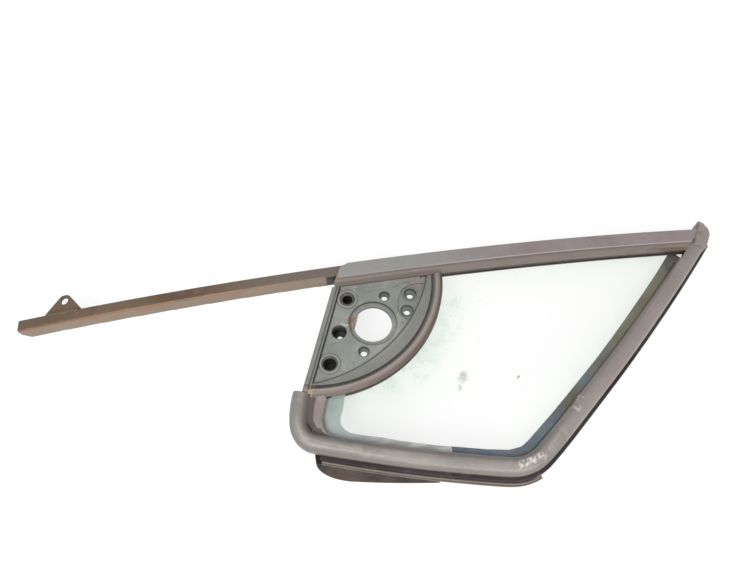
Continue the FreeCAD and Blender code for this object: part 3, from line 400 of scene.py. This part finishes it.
# surround of the plate: brown lip with a painted highlight on its crest and painted shade on its
# outer flank, and grooves and lines along its steps darkened as painted shade
def surround_extra(g, color):
    ring = g.ring(*LIP_CENTRE)
    across = g.slope(*MEMBER_TOP, *MEMBER_ACROSS)
    lip = g.span(ring, 118.6, 119.2)
    color = g.mix(lip, color, g.mix(g.noise(30.0, 5.0), lin(134, 122, 115), lin(148, 137, 130)))
    # painted highlight on the lip's crest
    crest_highlight = g.band(ring, 121.4, 0.5, 1.0)
    color = g.mix(g.math("MULTIPLY", crest_highlight, 0.55), color, lin(178, 167, 160))
    # painted shade on the lip's outer flank
    outer_flank_shade = g.span(ring, 123.8, 125.6)
    color = g.mix(g.math("MULTIPLY", outer_flank_shade, 0.9), color, lin(98, 84, 77))
    # painted shade in the groove beside the lip and in the fine serrations
    valley = g.band(ring, 117.3, 0.9, 0.6)
    color = g.mix(g.math("MULTIPLY", valley, 0.7), color, lin(84, 77, 72))
    wave = g.math("SINE", g.math("MULTIPLY", ring, 6.0))
    fine = g.both(g.band(ring, 111.5, 3.4, 0.8), g.span(wave, 0.1, 0.8))
    color = g.mix(g.math("MULTIPLY", fine, 0.55), color, lin(104, 100, 95))
    # painted shade along the plate's rim and along the steps of the member
    rim_shade = g.span(g.ring(*PLATE_CENTRE), 145.5, 144.9)
    inside = g.span(across, 8.0, 9.0)
    color = g.mix(g.both(g.both(rim_shade, inside), 0.85), color, lin(76, 72, 67))
    step_shade = g.band(across, 4.6, 0.25, 0.35)
    color = g.mix(g.math("MULTIPLY", step_shade, 0.75), color, lin(86, 80, 74))
    seat_shade = g.band(across, 7.1, 0.35, 0.35)
    color = g.mix(g.both(seat_shade, g.span(g.y, -58.0, -50.0)), color, lin(58, 54, 50))
    left = g.span(across, 0.9, 0.1)
    color = g.mix(g.math("MULTIPLY", left, 0.7), color, lin(120, 106, 95))
    pink = g.both(g.span(g.y, -50.0, -60.0), g.band(across, 7.5, 1.0, 2.0))
    return g.mix(g.math("MULTIPLY", pink, 0.55), color, lin(184, 156, 138))


surround_mat = plastic("surround_grey", (134, 134, 129), (145, 145, 140), (156, 155, 150),
                       rough=0.38, extra=surround_extra)


# plate: dust, dirt beside the opening and rust, with painted shade along its steps, on its
# walls, in its recesses, round the opening, cups and bosses and under the trim, and a painted
# highlight on the boss rims
def plate_extra(g, color):
    dust = g.span(g.noise(70.0, 8.0), 0.55, 0.75, 0.0, 0.45)
    color = g.mix(dust, color, lin(182, 180, 172))
    ring = g.ring(0.0, 0.0)
    brown = g.both(g.both(g.near(-20.5, 3.0, 5.0, 6.0), g.band(ring, 21.5, 3.0, 2.0)),
                   g.span(g.noise(160.0, 6.0), 0.36, 0.56))
    color = g.mix(brown, color, lin(140, 116, 92))
    pale = g.both(g.near(-27.0, 2.0, 2.0, 5.0), g.span(g.noise(300.0, 6.0), 0.5, 0.6))
    color = g.mix(pale, color, lin(196, 194, 188))
    # painted shade in a ring at the opening's edge
    edge = g.band(ring, 24.1, 0.25, 0.4)
    color = g.mix(g.math("MULTIPLY", edge, 0.55), color, lin(84, 82, 76))
    # round each boss: painted shade in two dark rings and a painted highlight on the rim between
    # them
    for x, y in BOSSES:
        away = g.ring(x, y)
        color = g.mix(g.math("MULTIPLY", g.band(away, 10.4, 0.3, 0.5), 0.6), color,
                      lin(96, 95, 89))
        color = g.mix(g.math("MULTIPLY", g.band(away, 9.2, 0.2, 0.5), 0.4), color,
                      lin(184, 184, 178))
        color = g.mix(g.math("MULTIPLY", g.band(away, 7.7, 0.3, 0.4), 0.7), color,
                      lin(70, 68, 64))
    # painted shade round the edges of the cups and holes
    for x, y, r in ((16.2, 28.3, 5.3), (-13.4, -28.9, 5.3), (42.6, 26.6, 6.4), (36.2, 8.8, 6.4),
                    (-34.3, -4.7, 7.3)):
        away = g.ring(x, y)
        color = g.mix(g.math("MULTIPLY", g.band(away, r + 0.35, 0.2, 0.5), 0.5), color,
                      lin(84, 83, 78))
    # painted shade along the rim step and the member's edge
    rim_shade = g.span(g.ring(*PLATE_CENTRE), 143.2, 144.0)
    color = g.mix(g.math("MULTIPLY", rim_shade, 0.75), color, lin(82, 80, 75))
    across = g.slope(*MEMBER_TOP, *MEMBER_ACROSS)
    color = g.mix(g.span(across, 8.6, 7.8, 0.0, 0.85), color, lin(66, 64, 60))
    # painted shadow under the trim
    under_trim_shadow = g.span(g.y, 43.6, 44.6)
    color = g.mix(g.math("MULTIPLY", under_trim_shadow, 0.8), color, lin(62, 57, 52))
    rust = g.both(g.near(52.0, 41.5, 3.0, 9.0), g.span(g.noise(120.0, 6.0), 0.42, 0.58))
    color = g.mix(g.math("MULTIPLY", rust, 0.5), color, lin(158, 134, 116))
    # painted shade on step walls and in recesses
    wall_shade = g.both(g.walls(), g.span(g.h, 5.05, 4.85))
    color = g.mix(g.math("MULTIPLY", wall_shade, 0.8), color, lin(58, 57, 53))
    deep_shade = g.span(g.h, 2.0, -3.0)
    return g.mix(g.math("MULTIPLY", deep_shade, 0.7), color, lin(52, 50, 47))


plate_mat = plastic("plate_grey", (138, 141, 135), (152, 154, 148), (166, 167, 160),
                    rough=0.42, extra=plate_extra)

# inserts: walls and bore darkened as painted shade
def insert_extra(g, color):
    color = g.mix(g.math("MULTIPLY", g.walls(), 0.85), color, lin(40, 38, 36))
    return g.mix(g.span(g.h, 4.6, 1.0, 0.0, 0.9), color, lin(36, 34, 32))


insert_mat = plastic("insert_zinc", (82, 79, 75), (98, 95, 90), (120, 116, 110), rough=0.4,
                     extra=insert_extra)

# pane: clear in the middle, greener towards its edges, with a little dirt
def glass():
    g = Graph("pane_glass")
    top = g.span(g.y, 18.0, 50.0)
    arm_line = g.math("ADD", g.math("MULTIPLY", g.x, 0.635), g.math("MULTIPLY", g.y, -0.772))
    arm = g.span(arm_line, 160.0, 196.0)
    dx = g.math("ADD", g.x, 50.0)
    dy = g.math("SUBTRACT", g.y, 55.0)
    ring = g.math("SQRT", g.math("ADD", g.math("MULTIPLY", dx, dx), g.math("MULTIPLY", dy, dy)))
    round_edge = g.span(ring, 170.0, 128.0)
    edge = g.math("MAXIMUM", g.math("MAXIMUM", top, arm), round_edge)
    mottle = g.span(g.noise(26.0, 6.0), 0.3, 0.7, 0.45, 1.0)
    tint = g.mix(g.both(edge, mottle), (0.996, 1.0, 0.996, 1.0), (0.95, 0.98, 0.945, 1.0))
    mist = g.both(g.band(g.ring(-47.0, 59.0), 135.0, 6.0, 16.0), g.span(g.y, -84.0, -60.0))
    mist = g.both(mist, g.span(g.y, 30.0, 10.0))
    mist = g.both(mist, g.span(g.noise(60.0, 8.0), 0.42, 0.62))
    tint = g.mix(g.math("MULTIPLY", mist, 0.75), tint, (0.885, 0.945, 0.9, 1.0))
    spots = g.span(g.noise(200.0, 9.0), 0.53, 0.64)
    tint = g.mix(g.both(spots, g.math("MULTIPLY", mist, 0.4)), tint, (0.72, 0.8, 0.74, 1.0))
    blot = g.math("MAXIMUM", g.near(76.0, -68.0, 1.5, 7.0), g.near(70.0, -78.0, 0.5, 3.4))
    blot = g.both(blot, g.span(g.noise(130.0, 8.0), 0.42, 0.6))
    tint = g.mix(g.math("MULTIPLY", blot, 0.85), tint, (0.66, 0.72, 0.68, 1.0))
    dots = g.both(g.span(g.noise(260.0, 6.0), 0.63, 0.68), g.near(82.0, -20.0, 20.0, 50.0))
    tint = g.mix(g.math("MULTIPLY", dots, 0.35), tint, (0.7, 0.72, 0.6, 1.0))
    # browner along the top edge of the right part
    top_edge_brown = g.both(g.span(g.y, 43.5, 48.5), g.span(g.x, 255.0, 285.0))
    tint = g.mix(g.math("MULTIPLY", top_edge_brown, 0.8), tint, (0.8, 0.79, 0.72, 1.0))
    speck = g.near(128.7, -75.5, 0.5, 0.6)
    tint = g.mix(speck, tint, (0.35, 0.16, 0.1, 1.0))
    clear = g.tree.nodes.new("ShaderNodeBsdfTransparent")
    g.tree.links.new(tint, clear.inputs[0])
    gloss = g.tree.nodes.new("ShaderNodeBsdfGlossy")
    gloss.inputs["Roughness"].default_value = 0.03
    facing = g.tree.nodes.new("ShaderNodeLayerWeight")
    facing.inputs["Blend"].default_value = 0.3
    sheen = g.math("MULTIPLY", facing.outputs["Facing"], 0.5)
    sheen = g.math("ADD", g.math("POWER", sheen, 2.0), 0.03)
    blend = g.tree.nodes.new("ShaderNodeMixShader")
    g.tree.links.new(sheen, blend.inputs[0])
    g.tree.links.new(clear.outputs[0], blend.inputs[1])
    g.tree.links.new(gloss.outputs[0], blend.inputs[2])
    g.tree.links.new(blend.outputs[0], g.out.inputs["Surface"])
    return g.mat


MATERIALS = {
    "division_channel": channel_mat,
    "channel_lug": channel_mat,
    "division_trim": trim_mat,
    "surround_moulding": mould_mat,
    "perimeter_seal": seal_mat,
    "sill_lip": lip_mat,
    "lower_skirt": skirt_mat,
    "plate_surround": surround_mat,
    "mirror_plate": plate_mat,
    "insert_upper": insert_mat,
    "insert_lower": insert_mat,
    "glass_pane": glass(),
}
for node, mat in MATERIALS.items():
    set_material(node, mat)
for node in ("surround_moulding", "perimeter_seal", "lower_skirt", "plate_surround",
             "division_trim", "division_channel", "mirror_plate"):
    smooth(node, 40.0)


def make_mesh(name, verts, faces, mat):
    mesh = bpy.data.meshes.new(name)
    mesh.from_pydata([(v[0] * MM, v[1] * MM, v[2] * MM) for v in verts], [], faces)
    mesh.validate()
    obj = bpy.data.objects.new(name, mesh)
    bpy.context.scene.collection.objects.link(obj)
    mesh.materials.append(mat)
    for poly in mesh.polygons:
        poly.use_smooth = True
    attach(obj, "root")
    return obj


# printed border of the pane, on its inner face
FRIT_EDGE = [(-36.0, -64.0), (-37.6, -70.0), (-41.2, -82.7), (-44.0, -88.4), (-44.6, -94.4),
             (-42.1, -99.5), (-36.8, -104.0), (-24.6, -108.1), (-8.8, -112.4), (5.8, -117.7),
             (23.2, -122.5), (37.9, -127.0), (50.5, -129.8), (66.7, -133.6), (81.7, -137.1),
             (101.6, -140.6), (113.2, -139.5), (121.0, -135.1), (133.8, -125.8), (148.9, -115.0),
             (169.6, -99.3), (191.0, -82.9), (215.0, -64.2), (238.5, -44.8), (258.5, -27.9),
             (289.3, -1.3), (316.0, 22.3), (337.7, 42.6), (345.0, 50.0)]


# points at equal steps along a line
def resample(points, count):
    total = [0.0]
    for a, b in zip(points, points[1:]):
        total.append(total[-1] + math.dist(a, b))
    out = []
    for i in range(count + 1):
        goal = total[-1] * i / count
        k = 0
        while k < len(total) - 2 and total[k + 1] < goal:
            k += 1
        f = (goal - total[k]) / (total[k + 1] - total[k])
        a, b = points[k], points[k + 1]
        out.append((a[0] + (b[0] - a[0]) * f, a[1] + (b[1] - a[1]) * f))
    return out


# run of the moulding's centre line that lies nearest to a point
def nearest_run(x, y, first, last):
    best = None
    run = first
    while run <= last:
        px, py = path_at(run)
        gap = math.hypot(px - x, py - y)
        if best is None or gap < best[0]:
            best = (gap, run)
        run += 0.5
    return best[1]


# strip from the print's inner edge to under the moulding
def frit():
    inner = resample(FRIT_EDGE, 240)
    verts = []
    run = 2.0
    for x, y in inner:
        run = nearest_run(x, y, run, min(run + 30.0, LONG - 30.0))
        px, py = path_at(run, 0.6)
        py = min(py, 50.2)
        verts.append((x, y, GLASS_BACK + sag(x)))
        verts.append((px, py, GLASS_BACK + sag(px)))
    faces = [(2 * i, 2 * i + 1, 2 * i + 3, 2 * i + 2) for i in range(len(inner) - 1)]
    g = Graph("frit_print")
    pale = g.mix(g.span(g.noise(30.0), 0.35, 0.65), lin(176, 184, 188), lin(196, 202, 206))
    worn = g.span(g.noise(60.0, 6.0, (0.5, 2.0, 1.0)), 0.38, 0.62)
    sill = g.mix(worn, lin(190, 190, 188), lin(232, 232, 228))
    pale = g.mix(g.span(g.x, -30.0, 5.0), pale, sill)
    # the blue and brown zones along the print are painted reflections
    blue_reflection = g.mix(g.span(g.noise(26.0), 0.35, 0.65), lin(98, 106, 126), lin(126, 132, 148))
    brown = g.mix(g.span(g.noise(24.0), 0.35, 0.65), lin(122, 108, 94), lin(146, 133, 120))
    color = g.mix(g.span(g.x, 50.0, 51.5), pale, blue_reflection)
    mottle = g.span(g.noise(34.0, 3.0), 0.4, 0.6)
    color = g.mix(g.both(g.span(g.x, 150.0, 172.0), mottle), color, brown)
    color = g.mix(g.span(g.x, 205.0, 240.0), color, brown)
    color = g.mix(g.span(g.x, 322.0, 334.0), color, lin(112, 100, 104))
    g.surface(color, 0.3, level=0.4)
    return make_mesh("frit_border", verts, faces, g.mat)


frit()


# inner web between the left arm and the pane: a valley beside the tube, coloured dark as painted
# shade, then a beige rib
WEB_EDGE = [(-53.6, -64.5), (-54.5, -69.6), (-57.3, -79.6), (-59.8, -87.1), (-60.2, -94.2),
            (-57.4, -101.6), (-48.6, -107.4)]
WEB_SECTION = [(0.0, 1.6), (0.1, 0.6), (0.2, 0.35), (0.3, 0.5), (0.4, 1.2), (0.5, 1.9),
               (0.62, 2.2), (0.82, 2.1), (0.93, 1.4), (1.0, 0.0)]


def web_strip(name, first, last, mat):
    verts = []
    run = 0.6
    edge = resample(WEB_EDGE, 60)
    for x, y in edge:
        run = nearest_run(x, y, run, min(run + 20.0, 90.0))
        ax, ay = path_at(run, -7.4)
        scale = min(1.0, math.hypot(x - ax, y - ay) / 9.0)
        for share, high in WEB_SECTION[first:last]:
            px = ax + (x - ax) * share
            py = ay + (y - ay) * share
            verts.append((px, py, GLASS_FACE + high * scale + sag(px)))
    wide = len(WEB_SECTION[first:last])
    faces = []
    for i in range(len(edge) - 1):
        for k in range(wide - 1):
            a = i * wide + k
            faces.append((a, a + wide, a + wide + 1, a + 1))
    return make_mesh(name, verts, faces, mat)


web_strip("corner_valley", 0, 5, plastic("web_valley_shade", (98, 90, 83), (112, 104, 97),
                                         (128, 120, 112), rough=0.5, level=0.3))
web_strip("corner_web", 4, 10, plastic("web_beige", (144, 134, 127), (156, 147, 140),
                                       (172, 164, 157), rough=0.4))


# bevelled strip along a line
def ribbon(points, width, high, base):
    verts = []
    for i, (x, y) in enumerate(points):
        a = points[max(0, i - 1)]
        b = points[min(len(points) - 1, i + 1)]
        dx, dy = b[0] - a[0], b[1] - a[1]
        size = math.hypot(dx, dy) or 1.0
        nx, ny = -dy / size * width / 2.0, dx / size * width / 2.0
        verts.append((x - nx, y - ny, base))
        verts.append((x - nx * 0.3, y - ny * 0.3, base + high))
        verts.append((x + nx * 0.3, y + ny * 0.3, base + high))
        verts.append((x + nx, y + ny, base))
    faces = []
    for i in range(len(points) - 1):
        a = 4 * i
        for k in range(3):
            faces.append((a + k, a + k + 4, a + k + 5, a + k + 1))
    faces.append((0, 1, 2, 3))
    end = 4 * (len(points) - 1)
    faces.append((end + 3, end + 2, end + 1, end))
    return verts, faces


# low relief of the plate: thin raised lines and a ring of ticks, with dark strips beside them as
# painted shadow
def plate_relief():
    lines = [
        ([(-22.5, 40.6), (-18.0, 40.9), (30.0, 40.5), (44.0, 40.4)], 0.9, 0.35),
        ([(-12.0, 34.6), (-4.0, 36.2), (20.0, 36.6), (33.0, 38.6)], 0.8, 0.22),
        ([(-4.0, 33.0), (18.0, 34.6), (29.0, 36.4)], 0.6, 0.16),
        ([(-42.6, -15.6), (-24.0, -15.0), (-20.6, -17.6)], 0.7, 0.2),
        ([(-42.6, -15.6), (-45.0, -22.6)], 0.7, 0.2),
        ([(-41.6, -9.4), (-43.4, -14.4)], 0.7, 0.2),
        ([(-24.0, -15.0), (-21.4, -10.6)], 0.6, 0.14),
        ([(-33.0, 19.4), (-31.0, 22.2)], 0.6, 0.2),
    ]
    cx, cy = -24.4, -33.6
    ticks = 14
    for k in range(ticks):
        t = 2.0 * math.pi * k / ticks
        a = (cx + 3.9 * math.cos(t), cy + 3.9 * math.sin(t))
        b = (cx + 5.6 * math.cos(t), cy + 5.6 * math.sin(t))
        lines.append(([a, b], 0.7, 0.22))
    circle = [(cx + 2.2 * math.cos(k * math.pi / 10), cy + 2.2 * math.sin(k * math.pi / 10))
              for k in range(21)]
    lines.append((circle, 0.5, 0.18))
    # dark strips offset beside the raised lines: painted shadow
    dark = plastic("relief_shadow_dark", (92, 90, 84), (104, 102, 96), (116, 114, 108), rough=0.6,
                   level=0.2)
    for name, mat, drop, share, rise in (("plate_relief", plate_mat, 0.0, 1.0, 1.0),
                                         ("plate_relief_shadows", dark, -0.62, 0.75, 0.1)):
        verts = []
        faces = []
        for points, width, high in lines:
            place = [(x, y + drop) for x, y in points]
            v, f = ribbon(place, width * share, high * rise, PLATE_FACE)
            start = len(verts)
            verts += v
            faces += [tuple(start + i for i in face) for face in f]
        make_mesh(name, verts, faces, mat)


plate_relief()

# pale floor that shows white to the camera and keeps its shadow
def make_floor():
    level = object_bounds()[0].z - 0.0002
    reach = 6.0
    mesh = bpy.data.meshes.new("floor")
    mesh.from_pydata([(-reach, -reach, level), (reach, -reach, level),
                      (reach, reach, level), (-reach, reach, level)], [], [(0, 1, 2, 3)])
    floor = bpy.data.objects.new("floor", mesh)
    bpy.context.scene.collection.objects.link(floor)
    g = Graph("floor_white")
    diffuse = g.tree.nodes.new("ShaderNodeBsdfDiffuse")
    diffuse.inputs[0].default_value = (0.34, 0.34, 0.34, 1.0)
    glow = g.tree.nodes.new("ShaderNodeEmission")
    glow.inputs[0].default_value = (1.0, 1.0, 1.0, 1.0)
    path = g.tree.nodes.new("ShaderNodeLightPath")
    seen = g.math("MAXIMUM", path.outputs["Is Camera Ray"], path.outputs["Is Glossy Ray"])
    seen = g.math("MAXIMUM", seen, path.outputs["Is Transmission Ray"])
    g.tree.links.new(g.math("MULTIPLY", seen, 0.77), glow.inputs[1])
    add = g.tree.nodes.new("ShaderNodeAddShader")
    g.tree.links.new(diffuse.outputs[0], add.inputs[0])
    g.tree.links.new(glow.outputs[0], add.inputs[1])
    g.tree.links.new(add.outputs[0], g.out.inputs["Surface"])
    mesh.materials.append(g.mat)


def make_world():
    world = bpy.data.worlds.new("studio")
    bpy.context.scene.world = world
    world.use_nodes = True
    tree = world.node_tree
    tree.nodes.clear()
    out = tree.nodes.new("ShaderNodeOutputWorld")
    back = tree.nodes.new("ShaderNodeBackground")
    back.inputs[0].default_value = (1.0, 1.0, 1.0, 1.0)
    path = tree.nodes.new("ShaderNodeLightPath")
    level = tree.nodes.new("ShaderNodeMapRange")
    level.inputs["To Min"].default_value = 0.55
    level.inputs["To Max"].default_value = 1.0
    tree.links.new(path.outputs["Is Camera Ray"], level.inputs["Value"])
    tree.links.new(level.outputs["Result"], back.inputs[1])
    tree.links.new(back.outputs[0], out.inputs[0])


def lamp(name, place, target, size, power):
    data = bpy.data.lights.new(name, "AREA")
    data.shape = "RECTANGLE"
    data.size, data.size_y = size
    data.energy = power
    obj = bpy.data.objects.new(name, data)
    bpy.context.scene.collection.objects.link(obj)
    obj.location = place
    aim = Vector(target) - Vector(place)
    obj.rotation_euler = aim.to_track_quat("-Z", "Y").to_euler()


# a and b turned by a small angle in their own plane
def turned(a, b, angle):
    return a * math.cos(angle) + b * math.sin(angle), b * math.cos(angle) - a * math.sin(angle)


def make_camera():
    camera = bpy.data.cameras.new("camera")
    camera.sensor_width = 36.0
    camera.lens = 580.0 / 750.0 * 36.0
    camera.clip_start = 0.01
    camera.clip_end = 50.0
    obj = bpy.data.objects.new("camera", camera)
    bpy.context.scene.collection.objects.link(obj)
    right = Vector((0.98728, -0.15902, 0.0))
    up = Vector((0.13772, 0.85501, 0.5))
    toward = Vector((0.07951, 0.49364, -0.86603))
    right, up = turned(right, up, 0.0030)
    toward, up = turned(toward, up, 0.0010)
    place = Vector((-38.174, -249.498, 524.295)) * MM
    basis = Matrix((right, up, -toward)).transposed()
    obj.matrix_world = Matrix.Translation(place) @ basis.to_4x4()
    bpy.context.scene.camera = obj
    bpy.context.scene.view_settings.view_transform = "Standard"


make_floor()
make_world()
lamp("key", (-0.7, -0.9, 1.3), (0.0, -0.05, 0.0), (0.8, 0.8), 13.0)
lamp("front", (0.3, -1.5, 0.6), (0.0, -0.05, 0.0), (1.8, 0.5), 11.0)
make_camera()
